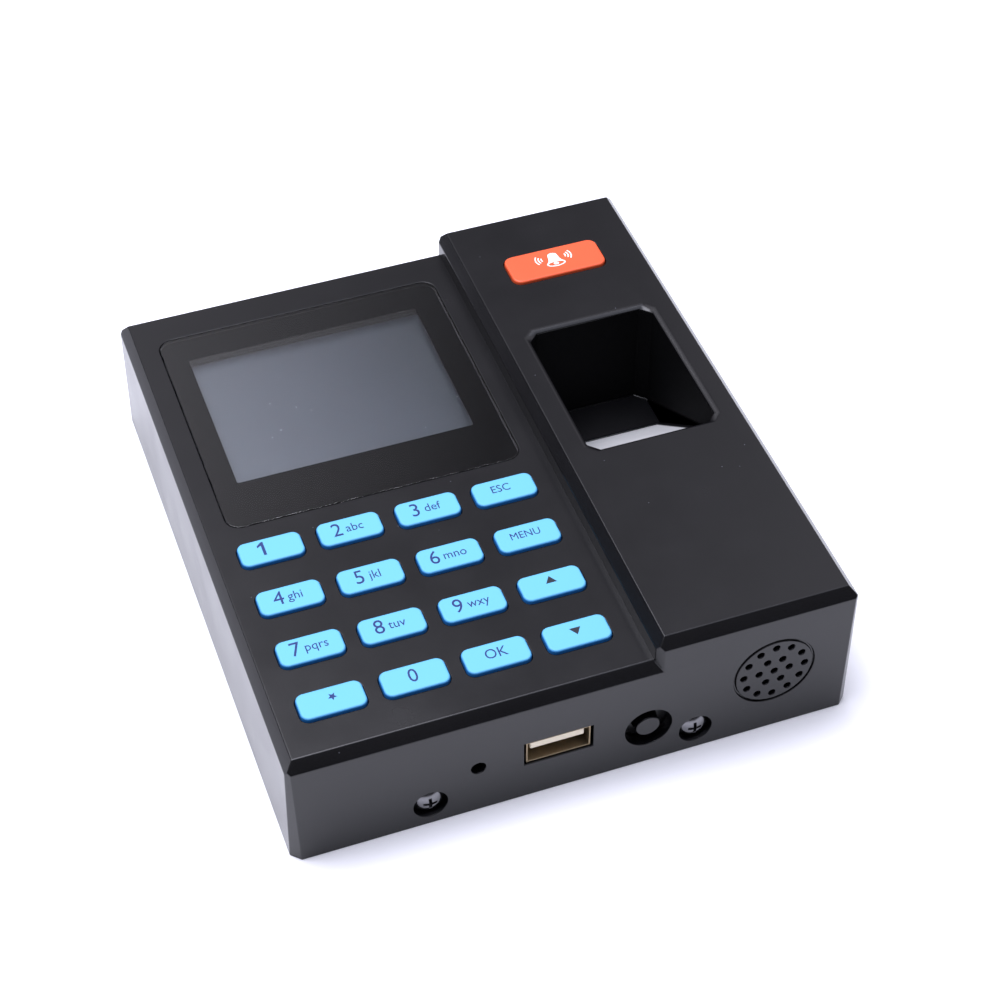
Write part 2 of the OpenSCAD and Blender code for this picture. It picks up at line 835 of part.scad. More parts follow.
usb_mouth = y_front + 0.6;
usb_shell_t = 0.3;
usb_mid_x = x_left + usb_x;
tongue_w = 11.1;
tongue_t = 1.9;
tongue_z = usb_z + 0.9;

module usb_shell() {
    color("#cfc7b4") difference() {
        block([usb_mid_x - usb_w / 2, usb_mouth, usb_z - usb_h / 2],
            [usb_mid_x + usb_w / 2, usb_mouth + usb_l, usb_z + usb_h / 2]);
        block([usb_mid_x - usb_w / 2 + usb_shell_t, usb_mouth - past,
                usb_z - usb_h / 2 + usb_shell_t],
            [usb_mid_x + usb_w / 2 - usb_shell_t, usb_mouth + usb_l - 2,
                usb_z + usb_h / 2 - usb_shell_t]);
    }
}

module usb_tongue() {
    back = usb_mouth + usb_l - 2;
    color("#f4efe2") {
        block([usb_mid_x - tongue_w / 2, usb_mouth + 0.7, tongue_z - tongue_t / 2],
            [usb_mid_x + tongue_w / 2, back, tongue_z + tongue_t / 2]);
        block([usb_mid_x - usb_w / 2 + usb_shell_t, back - 4, usb_z - usb_h / 2 + usb_shell_t],
            [usb_mid_x + usb_w / 2 - usb_shell_t, back, usb_z + usb_h / 2 - usb_shell_t]);
    }
}

module usb_contacts() {
    contact_t = 0.2;
    color("#d9b25a") for (i = [-3.5, -1, 1, 3.5])
        block([usb_mid_x + i - 0.5, usb_mouth + 1.6, tongue_z - tongue_t / 2 - contact_t],
            [usb_mid_x + i + 0.5, usb_mouth + usb_l - 6, tongue_z - tongue_t / 2]);
}

// ---------- speaker ----------

gasket_back = in_front + 0.7;

// Profile of radius and depth points, turned about the speaker's own axis
module speaker_turned(points) {
    translate([speaker_mid_x, gasket_back, speaker_z]) rotate([-90, 0, 0])
        rotate_extrude() polygon(points);
}

module speaker_gasket() {
    color("#1d1d1f") difference() {
        rod_y(speaker_mid_x, speaker_z, in_front, gasket_back, speaker_r);
        rod_y(speaker_mid_x, speaker_z, in_front - past, gasket_back + past, speaker_r - 1.2);
    }
}

module speaker_frame() {
    color("#8b8e92") speaker_turned([[speaker_r, 0], [speaker_r, speaker_d],
        [4.2, speaker_d], [4.2, speaker_d - 0.8], [speaker_r - 1.6, speaker_d - 0.8],
        [speaker_r - 1.2, 0.6], [speaker_r - 1.2, 0]]);
}

module speaker_cone() {
    color("#3b3b3f") speaker_turned([[0, 0.7], [2.6, 1], [4, 1.9], [speaker_r - 1.6, 0.6],
        [speaker_r - 1.6, 0.9], [4, 2.3], [2.6, 1.4], [0, 1.1]]);
}

module speaker_magnet() {
    color("#75787c") speaker_turned([[0, speaker_d], [6.2, speaker_d], [6.2, speaker_d + 2.6],
        [0, speaker_d + 2.6]]);
}

// ---------- fingerprint sensor ----------

module sensor_holder() {
    side = well_w / 2 - fit_gap;
    near = well_near + fit_gap;
    far = well_far - fit_gap;
    top = ramp_point(ramp_l, 0);
    seat_n = -glass_down - glass_t;
    cavity_x = glass_w / 2 - cavity_rim;
    color("#161618") difference() {
        union() {
            block([well_mid_x - well_w / 2 - sleeve_t, well_near - sleeve_t - holder_ear,
                    plate_bottom],
                [well_mid_x + well_w / 2 + sleeve_t, well_far + sleeve_t + holder_ear,
                    floor_z - 2 * thin]);
            intersection() {
                side_prism([[far, plate_bottom], [far, floor_z], [ramp_foot, floor_z], top,
                    [near, top[1]], [near, plate_bottom]], well_mid_x - side, well_mid_x + side);
                well_shaft(plate_bottom, block_top, -fit_gap);
            }
        }
        side_prism([ramp_point(ramp_margin - press_gap, seat_n),
                ramp_point(ramp_margin - press_gap, past),
                ramp_point(ramp_margin + glass_l + press_gap, past),
                ramp_point(ramp_margin + glass_l + press_gap, seat_n)],
            well_mid_x - glass_w / 2 - press_gap, well_mid_x + glass_w / 2 + press_gap);
        side_prism([[ramp_point(3, seat_n)[0], plate_bottom - past],
                ramp_point(3, seat_n + thin), ramp_point(glass_l - 1, seat_n + thin),
                [ramp_point(glass_l - 1, seat_n)[0], plate_bottom - past]],
            well_mid_x - cavity_x, well_mid_x + cavity_x);
        for (p = holder_posts)
            at(p, plate_bottom - past) cylinder(h = plate_t + 2 * past, r = small_hole_r);
    }
}

module sensor_glass() {
    color("#c9cdd0") side_prism([ramp_point(ramp_margin, -glass_down - glass_t),
            ramp_point(ramp_margin, -glass_down),
            ramp_point(ramp_margin + glass_l, -glass_down),
            ramp_point(ramp_margin + glass_l, -glass_down - glass_t)],
        well_mid_x - glass_w / 2, well_mid_x + glass_w / 2);
}

sensor_mid_y = ramp_point(ramp_l / 2, -glass_down - glass_t)[0];

module sensor_camera() {
    color("#1b1b1d") {
        translate([well_mid_x - 4.2, sensor_mid_y - 4.2, plate_bottom]) cube([8.4, 8.4, 2.6]);
        translate([well_mid_x, sensor_mid_y, plate_bottom]) cylinder(h = 5.6, r = 3.2);
    }
}

sensor_board_left = well_mid_x - glass_w / 2;

module sensor_board() {
    color("#1f6b43")
        block([sensor_board_left, ramp_point(glass_l, -4)[0], plate_bottom - board_t],
            [well_mid_x + glass_w / 2, ramp_point(2, -4)[0], plate_bottom]);
}

module sensor_flex() {
    t = 0.3;
    low = plate_bottom - board_t;
    end_x = main_right - 8;
    color("#b5762c") translate([0, sensor_mid_y + 4, 0]) rotate([90, 0, 0]) linear_extrude(8)
        polygon([[sensor_board_left, low + t], [sensor_board_left, low + 2 * t],
            [main_right, low + 2 * t],
            [end_x + 2, main_bottom], [end_x, main_bottom], [end_x, main_bottom - t],
            [end_x + 2 - t, main_bottom - t], [main_right - t, low + t]]);
}

// ---------- assembly ----------

front_housing();
rear_cover();
wall_bracket();
bracket_screws();
cover_screws();
board_screws();
display_lens();
lens_tape();
display_gasket();
lcd_panel();
lcd_frame();
lcd_flex();
keypad_mat();
keypad_board();
board_spacers();
main_board();
main_chips();
capacitors();
cell_holder();
coin_cell();
wire_headers();
header_pins();
key_cap(0, 0);  // key_1
key_cap(1, 0);  // key_2
key_cap(2, 0);  // key_3
key_cap(3, 0);  // key_esc
key_cap(0, 1);  // key_4
key_cap(1, 1);  // key_5
key_cap(2, 1);  // key_6
key_cap(3, 1);  // key_menu
key_cap(0, 2);  // key_7
key_cap(1, 2);  // key_8
key_cap(2, 2);  // key_9
key_cap(3, 2);  // key_up
key_cap(0, 3);  // key_star
key_cap(1, 3);  // key_0
key_cap(2, 3);  // key_ok
key_cap(3, 3);  // key_down
bell_button();
bell_stem();
bell_switch();
bell_board();
power_button();
power_stem();
power_switch();
reset_stem();
reset_switch();
usb_shell();
usb_tongue();
usb_contacts();
speaker_gasket();
speaker_frame();
speaker_cone();
speaker_magnet();
sensor_holder();
sensor_glass();
sensor_camera();
sensor_board();
sensor_flex();
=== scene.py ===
import math
import bmesh
import bpy
from mathutils import Matrix, Vector


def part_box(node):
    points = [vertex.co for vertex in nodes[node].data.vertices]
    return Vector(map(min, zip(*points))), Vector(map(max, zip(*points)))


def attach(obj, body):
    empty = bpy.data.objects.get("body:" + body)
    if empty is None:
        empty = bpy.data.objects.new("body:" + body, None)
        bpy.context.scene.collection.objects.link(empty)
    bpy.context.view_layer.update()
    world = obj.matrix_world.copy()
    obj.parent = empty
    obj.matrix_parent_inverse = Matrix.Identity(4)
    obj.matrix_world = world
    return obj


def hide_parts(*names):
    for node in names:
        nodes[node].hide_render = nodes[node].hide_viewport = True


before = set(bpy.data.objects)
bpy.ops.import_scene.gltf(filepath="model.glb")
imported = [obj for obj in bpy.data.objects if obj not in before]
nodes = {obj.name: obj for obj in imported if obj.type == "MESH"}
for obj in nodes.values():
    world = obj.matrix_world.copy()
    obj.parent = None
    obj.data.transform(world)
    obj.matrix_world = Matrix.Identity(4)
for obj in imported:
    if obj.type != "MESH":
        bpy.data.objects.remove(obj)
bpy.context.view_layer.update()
mm = 0.001


# ---------- camera, floor and light ----------
# A long lens looks down on the terminal from its lower left. It lies on a white table under a
# near soft lamp and a large weaker one, so the black case mirrors a pool of bright table.

def linear(hex_colour):
    """The linear colour of an sRGB hex value."""
    parts = [int(hex_colour[i:i + 2], 16) / 255 for i in (1, 3, 5)]
    return tuple(c / 12.92 if c <= 0.04045 else ((c + 0.055) / 1.055) ** 2.4 for c in parts) + (1,)


def add(tree, kind, settings={}, values={}, links={}):
    """Adds a node to the tree with its settings, its input values and its links."""
    node = tree.nodes.new(kind)
    for name, value in settings.items():
        setattr(node, name, value)
    for name, value in values.items():
        node.inputs[name].default_value = value
    for name, source in links.items():
        tree.links.new(source, node.inputs[name])
    return node


def new_material(name):
    """An empty material: its node tree and its shader, already joined to the output."""
    material = bpy.data.materials.new(name)
    material.use_nodes = True
    tree = material.node_tree
    tree.nodes.clear()
    shader = add(tree, "ShaderNodeBsdfPrincipled")
    add(tree, "ShaderNodeOutputMaterial", links={"Surface": shader.outputs[0]})
    return material, tree, shader


look = Vector((0.23651, 0.65769, -0.71520))
upward = Vector((0.24201, 0.67300, 0.69893))
camera_data = bpy.data.cameras.new("camera")
camera_data.lens = 85.0
camera_data.sensor_width = 36.0
camera_data.clip_start = 0.01
camera = bpy.data.objects.new("camera", camera_data)
bpy.context.scene.collection.objects.link(camera)
camera.matrix_world = (Matrix.Translation((-110.17 * mm, -326.8 * mm, 368.1 * mm))
                       @ Matrix((look.cross(upward), upward, -look)).transposed().to_4x4())
bpy.context.scene.camera = camera
bpy.context.scene.view_settings.view_transform = "Standard"

bpy.ops.object.select_all(action="DESELECT")
bpy.ops.mesh.primitive_plane_add(size=6, location=(0, 0, 0))
table_top = bpy.context.object
table_top.name = "table_top"
paper, paper_tree, paper_shader = new_material("white_table_laminate")
paper_place = add(paper_tree, "ShaderNodeTexCoord")
paper_noise = add(paper_tree, "ShaderNodeTexNoise", values={"Scale": 3, "Detail": 2},
                  links={"Vector": paper_place.outputs["Object"]})
paper_mix = add(paper_tree, "ShaderNodeMix", {"data_type": "RGBA"},
                {6: linear("#f4f5f8"), 7: linear("#fafafc")}, {0: paper_noise.outputs[0]})
paper_tree.links.new(paper_mix.outputs[2], paper_shader.inputs["Base Color"])
paper_shader.inputs["Roughness"].default_value = 0.6
table_top.data.materials.append(paper)

room = bpy.data.worlds.new("bright_room")
room.use_nodes = True
room_tree = room.node_tree
# The room is dimmer straight behind the table than at both sides, and dim near its floor.
room_way = add(room_tree, "ShaderNodeTexCoord").outputs["Generated"]
room_side = add(room_tree, "ShaderNodeVectorMath", {"operation": "DOT_PRODUCT"},
                {1: look.cross(upward)}, {0: room_way})
room_spread = add(room_tree, "ShaderNodeMath", {"operation": "ABSOLUTE"},
                  links={0: room_side.outputs["Value"]})
room_sides = add(room_tree, "ShaderNodeMapRange",
                 values={"From Min": 0.0, "From Max": 0.17, "To Min": 0.26, "To Max": 1.45},
                 links={"Value": room_spread.outputs[0]})
room_split = add(room_tree, "ShaderNodeSeparateXYZ", links={0: room_way})
room_rise = add(room_tree, "ShaderNodeMapRange",
                values={"From Min": 0.25, "From Max": 0.7, "To Min": 0.1, "To Max": 1.0},
                links={"Value": room_split.outputs["Z"]})
room_behind = add(room_tree, "ShaderNodeMapRange",
                  values={"From Min": -0.4, "From Max": 0.3, "To Min": 0.5, "To Max": 1.0},
                  links={"Value": room_split.outputs["Y"]})
room_part = add(room_tree, "ShaderNodeMath", {"operation": "MULTIPLY"},
                links={0: room_sides.outputs[0], 1: room_rise.outputs[0]})
room_light = add(room_tree, "ShaderNodeMath", {"operation": "MULTIPLY"},
                 links={0: room_part.outputs[0], 1: room_behind.outputs[0]})
room_tree.nodes["Background"].inputs[0].default_value = linear("#f2f0fb")
room_tree.links.new(room_light.outputs[0], room_tree.nodes["Background"].inputs[1])
bpy.context.scene.world = room

for lamp_name, side, watts, tint, place in (
        ("near_lamp", 0.5, 6.2, "#f3f3ff", (-0.14, 0.1, 0.62)),
        ("overhead_lamp", 1.2, 4.5, "#d6e2ff", (0.0, -0.1, 1.3))):
    lamp_data = bpy.data.lights.new(lamp_name, "AREA")
    lamp_data.shape = "SQUARE"
    lamp_data.size = side
    lamp_data.energy = watts
    lamp_data.color = linear(tint)[:3]
    lamp = bpy.data.objects.new(lamp_name, lamp_data)
    lamp.location = place
    lamp.rotation_euler = (-Vector(place)).to_track_quat("-Z", "Y").to_euler()
    bpy.context.scene.collection.objects.link(lamp)


# ---------- front housing ----------
# One injection-moulded shell of black ABS. Its mould was spark-eroded, which leaves a fine grain
# on every outer face, and its edges are slightly rounded where the steel was polished.

def select_only(piece):
    """Makes a piece the active one and the only one selected."""
    bpy.ops.object.select_all(action="DESELECT")
    bpy.context.view_layer.objects.active = piece
    piece.select_set(True)


def merged_copy(node_name, piece_name):
    """A copy of a CAD node with its loose triangles merged into flat faces."""
    piece = bpy.data.objects.new(piece_name, nodes[node_name].data.copy())
    bpy.context.scene.collection.objects.link(piece)
    select_only(piece)
    piece.data.materials.clear()
    bpy.ops.object.mode_set(mode="EDIT")
    bpy.ops.mesh.select_all(action="SELECT")
    bpy.ops.mesh.remove_doubles(threshold=0.002 * mm)
    bpy.ops.mesh.dissolve_limited(angle_limit=math.radians(0.6))
    bpy.ops.object.mode_set(mode="OBJECT")
    return piece


def keep_flat(piece):
    """Shades large faces flat, so that only the narrow rounding between them looks curved."""
    bpy.ops.object.shade_smooth_by_angle(angle=math.radians(38))
    balance = piece.modifiers.new("balance", "WEIGHTED_NORMAL")
    balance.mode = "FACE_AREA"
    balance.weight = 100
    balance.keep_sharp = True
    bpy.ops.object.modifier_apply(modifier="balance")


def soften(piece, width, steps=2, angle=35):
    """Rounds the sharp edges of a piece and shades the rounding smooth."""
    select_only(piece)
    rounding = piece.modifiers.new("rounding", "BEVEL")
    rounding.width = width
    rounding.segments = steps
    rounding.limit_method = "ANGLE"
    rounding.angle_limit = math.radians(angle)
    rounding.use_clamp_overlap = False
    bpy.ops.object.modifier_apply(modifier="rounding")
    keep_flat(piece)


def moulded(name, colour, speck, roughness, grain, depth):
    """A moulded plastic: two close tones, a grain of the given size, and a few dust specks."""
    material, tree, shader = new_material(name)
    place = add(tree, "ShaderNodeTexCoord").outputs["Object"]
    cloud = add(tree, "ShaderNodeTexNoise", values={"Scale": 90, "Detail": 3},
                links={"Vector": place})
    fine = add(tree, "ShaderNodeTexNoise", values={"Scale": 1 / grain, "Detail": 2},
               links={"Vector": place})
    spots = add(tree, "ShaderNodeTexVoronoi", values={"Scale": 210}, links={"Vector": place})
    dust = add(tree, "ShaderNodeMapRange", values={"From Min": 0.032, "From Max": 0.02},
               links={"Value": spots.outputs["Distance"]})
    deeper = tuple(c * 0.8 for c in linear(colour)[:3]) + (1,)
    tone = add(tree, "ShaderNodeMix", {"data_type": "RGBA"}, {6: deeper, 7: linear(colour)},
               {0: cloud.outputs[0]})
    dusty = add(tree, "ShaderNodeMix", {"data_type": "RGBA"}, {7: linear(speck)},
                {0: dust.outputs[0], 6: tone.outputs[2]})
    sheen = add(tree, "ShaderNodeMapRange",
                values={"To Min": roughness - 0.05, "To Max": roughness + 0.05},
                links={"Value": cloud.outputs[0]})
    relief = add(tree, "ShaderNodeBump", values={"Strength": 0.25, "Distance": depth},
                 links={"Height": fine.outputs[0]})
    tree.links.new(dusty.outputs[2], shader.inputs["Base Color"])
    tree.links.new(sheen.outputs[0], shader.inputs["Roughness"])
    tree.links.new(relief.outputs[0], shader.inputs["Normal"])
    shader.inputs["IOR"].default_value = 1.44
    return material


case_abs = moulded("moulded_black_abs", "#07070a", "#44464c", 0.25, 0.4 * mm, 0.006 * mm)
case_shell = merged_copy("front_housing", "case_shell")
soften(case_shell, 0.18 * mm)
case_shell.data.materials.append(case_abs)
# The finger well's walls are matt, and their black is painted darker and less glossy than the case's,
# as painted shade in the deep well.
well_painted_shade = moulded("matt_black_abs_painted_shade", "#040405", "#0a0a0c", 0.7, 0.6 * mm, 0.002 * mm)
well_painted_shade.node_tree.nodes["Principled BSDF"].inputs["Specular IOR Level"].default_value = 0.08
case_shell.data.materials.append(well_painted_shade)
well_low = Vector((22.2, -12.3, 0)) * mm
well_high = Vector((51.2, 26.1, 32.5)) * mm
for face in case_shell.data.polygons:
    if all(well_low[i] < face.center[i] < well_high[i] for i in range(3)):
        face.material_index = 1
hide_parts("front_housing")
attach(case_shell, "case")


# ---------- rear cover, wall bracket and inner screws ----------
# The rear cover is moulded in the same ABS. The bracket is punched from zinc-plated sheet steel
# and bent, and the inner screws are nickel-plated thread-forming ones.

def metal(name, colour, roughness, grain, along):
    """A metal surface whose fine marks are drawn out along one axis."""
    material, tree, shader = new_material(name)
    place = add(tree, "ShaderNodeTexCoord").outputs["Object"]
    drawn = add(tree, "ShaderNodeMapping", values={"Scale": along}, links={"Vector": place})
    marks = add(tree, "ShaderNodeTexNoise", values={"Scale": 1 / grain, "Detail": 4},
                links={"Vector": drawn.outputs[0]})
    deeper = tuple(c * 0.82 for c in linear(colour)[:3]) + (1,)
    tone = add(tree, "ShaderNodeMix", {"data_type": "RGBA"}, {6: deeper, 7: linear(colour)},
               {0: marks.outputs[0]})
    sheen = add(tree, "ShaderNodeMapRange",
                values={"To Min": roughness - 0.07, "To Max": roughness + 0.07},
                links={"Value": marks.outputs[0]})
    relief = add(tree, "ShaderNodeBump", values={"Strength": 0.15, "Distance": 0.01 * mm},
                 links={"Height": marks.outputs[0]})
    tree.links.new(tone.outputs[2], shader.inputs["Base Color"])
    tree.links.new(sheen.outputs[0], shader.inputs["Roughness"])
    tree.links.new(relief.outputs[0], shader.inputs["Normal"])
    shader.inputs["Metallic"].default_value = 1
    return material


def dress(material, *names):
    """Gives CAD nodes that keep their shape a material of their own."""
    for name in names:
        nodes[name].data.materials.clear()
        nodes[name].data.materials.append(material)


cover_abs = moulded("moulded_cover_abs", "#141418", "#4a4a50", 0.45, 0.5 * mm, 0.03 * mm)
dress(cover_abs, "rear_cover")
dress(metal("zinc_plated_steel", "#b9bdc0", 0.36, 0.8 * mm, (1, 6, 1)), "wall_bracket")
dress(metal("nickel_plated_screws", "#bcbcbc", 0.28, 0.3 * mm, (1, 1, 5)),
      "cover_screws", "board_screws")


# ---------- bracket screws ----------
# Two M3 pan-head screws with a cross recess hold the case to the bracket's bent tabs. They are
# nickel plated, so the dome shows one bright spot of the lamp.

# Their nickel is painted darker than plain nickel, as painted shade from the recesses the screws sit
# in.
screw_nickel_painted_shade = metal("polished_nickel_painted_shade", "#77777a", 0.2, 0.25 * mm, (1, 5, 1))
bright_screws = merged_copy("bracket_screws", "bright_screws")
soften(bright_screws, 0.05 * mm, 2, 50)
bright_screws.data.materials.append(screw_nickel_painted_shade)
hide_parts("bracket_screws")
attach(bright_screws, "case")


# ---------- display ----------
# A clear cast-acrylic lens lies flush in the deck on foam tape, with a black border printed on
# its back. The panel sits 3.85 mm below the deck in a steel tray, behind a dark foam gasket.

def pick(piece, kind, test):
    """Selects the faces or edges of a piece in edit mode that pass the test."""
    bpy.ops.mesh.select_all(action="DESELECT")
    bpy.ops.mesh.select_mode(type=kind)
    mesh = bmesh.from_edit_mesh(piece.data)
    for item in list(mesh.faces if kind == "FACE" else mesh.edges):
        if test(item):
            item.select_set(True)
    bmesh.update_edit_mesh(piece.data)


def rounded_block(name, low, high, corner, edge, steps=3):
    """A block between two corners with round upright corners and a rounded upper rim."""
    bpy.ops.object.select_all(action="DESELECT")
    bpy.ops.mesh.primitive_cube_add(size=1, location=(Vector(low) + Vector(high)) / 2)
    block = bpy.context.object
    block.name = name
    block.scale = Vector(high) - Vector(low)
    bpy.ops.object.transform_apply(location=True, rotation=True, scale=True)
    bpy.ops.object.mode_set(mode="EDIT")
    pick(block, "EDGE", lambda e: abs(e.verts[0].co.z - e.verts[1].co.z) > 1e-6)
    bpy.ops.mesh.bevel(offset=corner, segments=7, affect="EDGES")
    if edge:
        top = high[2]
        pick(block, "EDGE", lambda e: all(abs(v.co.z - top) < 1e-7 for v in e.verts))
        bpy.ops.mesh.bevel(offset=edge, segments=steps, affect="EDGES")
    bpy.ops.object.mode_set(mode="OBJECT")
    keep_flat(block)
    return block


window_low = Vector((-46.0, 9.55, 0)) * mm
window_high = Vector((5.0, 48.85, 0)) * mm
lens_low, lens_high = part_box("display_lens")
# The print lies just inside the back of the acrylic, so no air gap mirrors the room again.
print_low = lens_low.z + 0.02 * mm
print_high = print_low + 0.05 * mm

lens_plate = rounded_block("lens_plate", lens_low, lens_high, 3 * mm, 0.12 * mm, 2)
acrylic, acrylic_tree, acrylic_shader = new_material("clear_cast_acrylic")
acrylic_place = add(acrylic_tree, "ShaderNodeTexCoord").outputs["Object"]
acrylic_smear = add(acrylic_tree, "ShaderNodeTexNoise", values={"Scale": 60, "Detail": 3},
                    links={"Vector": acrylic_place})
acrylic_gloss = add(acrylic_tree, "ShaderNodeMapRange", values={"To Min": 0.02, "To Max": 0.07},
                    links={"Value": acrylic_smear.outputs[0]})
acrylic_tree.links.new(acrylic_gloss.outputs[0], acrylic_shader.inputs["Roughness"])
acrylic_shader.inputs["Base Color"].default_value = linear("#f2f4f6")
acrylic_shader.inputs["Transmission Weight"].default_value = 1
acrylic_shader.inputs["IOR"].default_value = 1.49
lens_plate.data.materials.append(acrylic)
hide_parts("display_lens")
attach(lens_plate, "case")

lens_print = rounded_block("lens_print", (lens_low.x + 0.1 * mm, lens_low.y + 0.1 * mm, print_low),
                           (lens_high.x - 0.1 * mm, lens_high.y - 0.1 * mm, print_high), 2.9 * mm, 0)
opening = rounded_block("opening", (window_low.x, window_low.y, lens_low.z - 1 * mm),
                        (window_high.x, window_high.y, lens_high.z), 0.5 * mm, 0)
select_only(lens_print)
window_cut = lens_print.modifiers.new("window", "BOOLEAN")
window_cut.operation = "DIFFERENCE"
window_cut.object = opening
bpy.ops.object.modifier_apply(modifier="window")
bpy.data.objects.remove(opening)
keep_flat(lens_print)
# The acrylic wets the ink, so the print has hardly any gloss of its own.
lens_ink = moulded("black_screen_print", "#060608", "#09090b", 0.7, 0.6 * mm, 0.002 * mm)
lens_ink.node_tree.nodes["Principled BSDF"].inputs["Specular IOR Level"].default_value = 0.05
lens_print.data.materials.append(lens_ink)
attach(lens_print, "case")

# The panel is switched off: a grey polariser film. It is painted lighter towards the lower left, as
# painted light on the panel.
off_panel, panel_tree, panel_shader = new_material("switched_off_polariser")
panel_place = add(panel_tree, "ShaderNodeTexCoord").outputs["Object"]
panel_slope = add(panel_tree, "ShaderNodeVectorMath", {"operation": "DOT_PRODUCT"},
                  {1: (-12.0, -7.0, 0)}, {0: panel_place})
panel_painted_light = add(panel_tree, "ShaderNodeMapRange", values={"From Min": -0.35, "From Max": 0.5},
                 links={"Value": panel_slope.outputs["Value"]})
panel_lit_tone = add(panel_tree, "ShaderNodeMix", {"data_type": "RGBA"},
                {6: linear("#33383e"), 7: linear("#63686f")}, {0: panel_painted_light.outputs[0]})
panel_dust = add(panel_tree, "ShaderNodeTexVoronoi", values={"Scale": 240},
                 links={"Vector": panel_place})
panel_specks = add(panel_tree, "ShaderNodeMapRange", values={"From Min": 0.05, "From Max": 0.03},
                   links={"Value": panel_dust.outputs["Distance"]})
panel_dusty = add(panel_tree, "ShaderNodeMix", {"data_type": "RGBA"}, {7: linear("#b4b8be")},
                  {0: panel_specks.outputs[0], 6: panel_lit_tone.outputs[2]})
panel_tree.links.new(panel_dusty.outputs[2], panel_shader.inputs["Base Color"])
panel_shader.inputs["Roughness"].default_value = 0.3
dress(off_panel, "lcd_panel")
foam = moulded("black_closed_cell_foam", "#08080a", "#0e0e12", 0.8, 0.5 * mm, 0.1 * mm)
dress(foam, "display_gasket", "lens_tape", "speaker_gasket")
dress(metal("pressed_tray_steel", "#a9adb0", 0.34, 0.6 * mm, (5, 1, 1)), "lcd_frame")
dress(moulded("amber_polyimide", "#b5762c", "#8a561c", 0.32, 0.6 * mm, 0.01 * mm),
      "lcd_flex", "sensor_flex")


# ---------- keys ----------
# Sixteen caps of sky-blue silicone rubber, each with a plunger and a thin flange that the deck
# traps. The caps stand proud of the deck, and their legends are printed in dark blue.

key_size = Vector((13.0, 6.5)) * mm
key_round = 1.7 * mm
key_rim_round = 0.5 * mm
key_flange = 0.6 * mm
key_plunger_inset = 2.2 * mm
key_flange_above_mat = 2 * mm
key_flange_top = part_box("keypad_mat")[1].z + key_flange_above_mat
legend_lift = 0.015 * mm

key_rubber, key_tree, key_shader = new_material("sky_blue_silicone")
key_coord = add(key_tree, "ShaderNodeTexCoord")
key_grain = add(key_tree, "ShaderNodeTexNoise", values={"Scale": 2500, "Detail": 2},
                links={"Vector": key_coord.outputs["Object"]})
# The blue is painted lighter on the caps' tops and darker on their sides, by how far each face turns
# up: painted light and painted shade.
key_split = add(key_tree, "ShaderNodeSeparateXYZ", links={0: key_coord.outputs["Normal"]})
key_top_light_share = add(key_tree, "ShaderNodeMapRange", values={"From Min": 0.35, "From Max": 0.95},
              links={"Value": key_split.outputs["Z"]})
key_lit_and_shaded_tone = add(key_tree, "ShaderNodeMix", {"data_type": "RGBA"},
               {6: linear("#1d6cb4"), 7: linear("#5ea9cc")}, {0: key_top_light_share.outputs[0]})
key_relief = add(key_tree, "ShaderNodeBump", values={"Strength": 0.15, "Distance": 0.01 * mm},
                 links={"Height": key_grain.outputs[0]})
key_tree.links.new(key_lit_and_shaded_tone.outputs[2], key_shader.inputs["Base Color"])
key_tree.links.new(key_relief.outputs[0], key_shader.inputs["Normal"])
key_shader.inputs["Roughness"].default_value = 0.55
key_shader.inputs["IOR"].default_value = 1.41

legend_ink = moulded("dark_blue_ink", "#0a2a66", "#0a2a66", 0.6, 0.3 * mm, 0.002 * mm)
arrow_ink = moulded("black_ink", "#0b1424", "#0b1424", 0.6, 0.3 * mm, 0.002 * mm)


def key_cap(name, low, high):
    """One key: a rounded cap, the flange under the deck, and the plunger below it."""
    middle = (low + high) / 2
    cap = rounded_block(name, (middle.x - key_size.x / 2, middle.y - key_size.y / 2, key_flange_top),
                        (middle.x + key_size.x / 2, middle.y + key_size.y / 2, high.z),
                        key_round, key_rim_round, 4)
    bpy.ops.object.mode_set(mode="EDIT")
    pick(cap, "FACE", lambda f: f.normal.z < -0.9)
    bpy.ops.mesh.extrude_region_move(TRANSFORM_OT_translate={"value": (0, 0, 0)})
    bpy.ops.transform.resize(value=((high.x - low.x) / key_size.x, (high.y - low.y) / key_size.y, 1),
                             center_override=(middle.x, middle.y, key_flange_top))
    bpy.ops.mesh.extrude_region_move(TRANSFORM_OT_translate={"value": (0, 0, -key_flange)})
    bpy.ops.mesh.inset(thickness=key_plunger_inset, depth=0)
    bpy.ops.mesh.extrude_region_move(
        TRANSFORM_OT_translate={"value": (0, 0, low.z - key_flange_top + key_flange)})
    bpy.ops.mesh.select_all(action="SELECT")
    bpy.ops.mesh.remove_doubles(threshold=0.001 * mm)
    bpy.ops.mesh.normals_make_consistent(inside=False)
    bpy.ops.object.mode_set(mode="OBJECT")
    keep_flat(cap)
    return cap


def printed(name, words, size, left, foot, z, narrow=0.9):
    """Printed letters that start at left and stand on foot, a hair above height z."""
    bpy.ops.object.select_all(action="DESELECT")
    bpy.ops.object.text_add(location=(0, 0, 0))
    letters = bpy.context.object
    letters.data.body = words
    letters.data.size = size
    letters.data.extrude = legend_lift / 2
    letters.data.resolution_u = 3
    bpy.ops.object.convert(target="MESH")
    letters = bpy.context.object
    letters.name = name
    xs = [v.co.x for v in letters.data.vertices]
    letters.scale = (narrow, 1, 1)
    letters.location = (left - min(xs) * narrow, foot, z + legend_lift)
    bpy.ops.object.transform_apply(location=True, rotation=True, scale=True)
    return letters


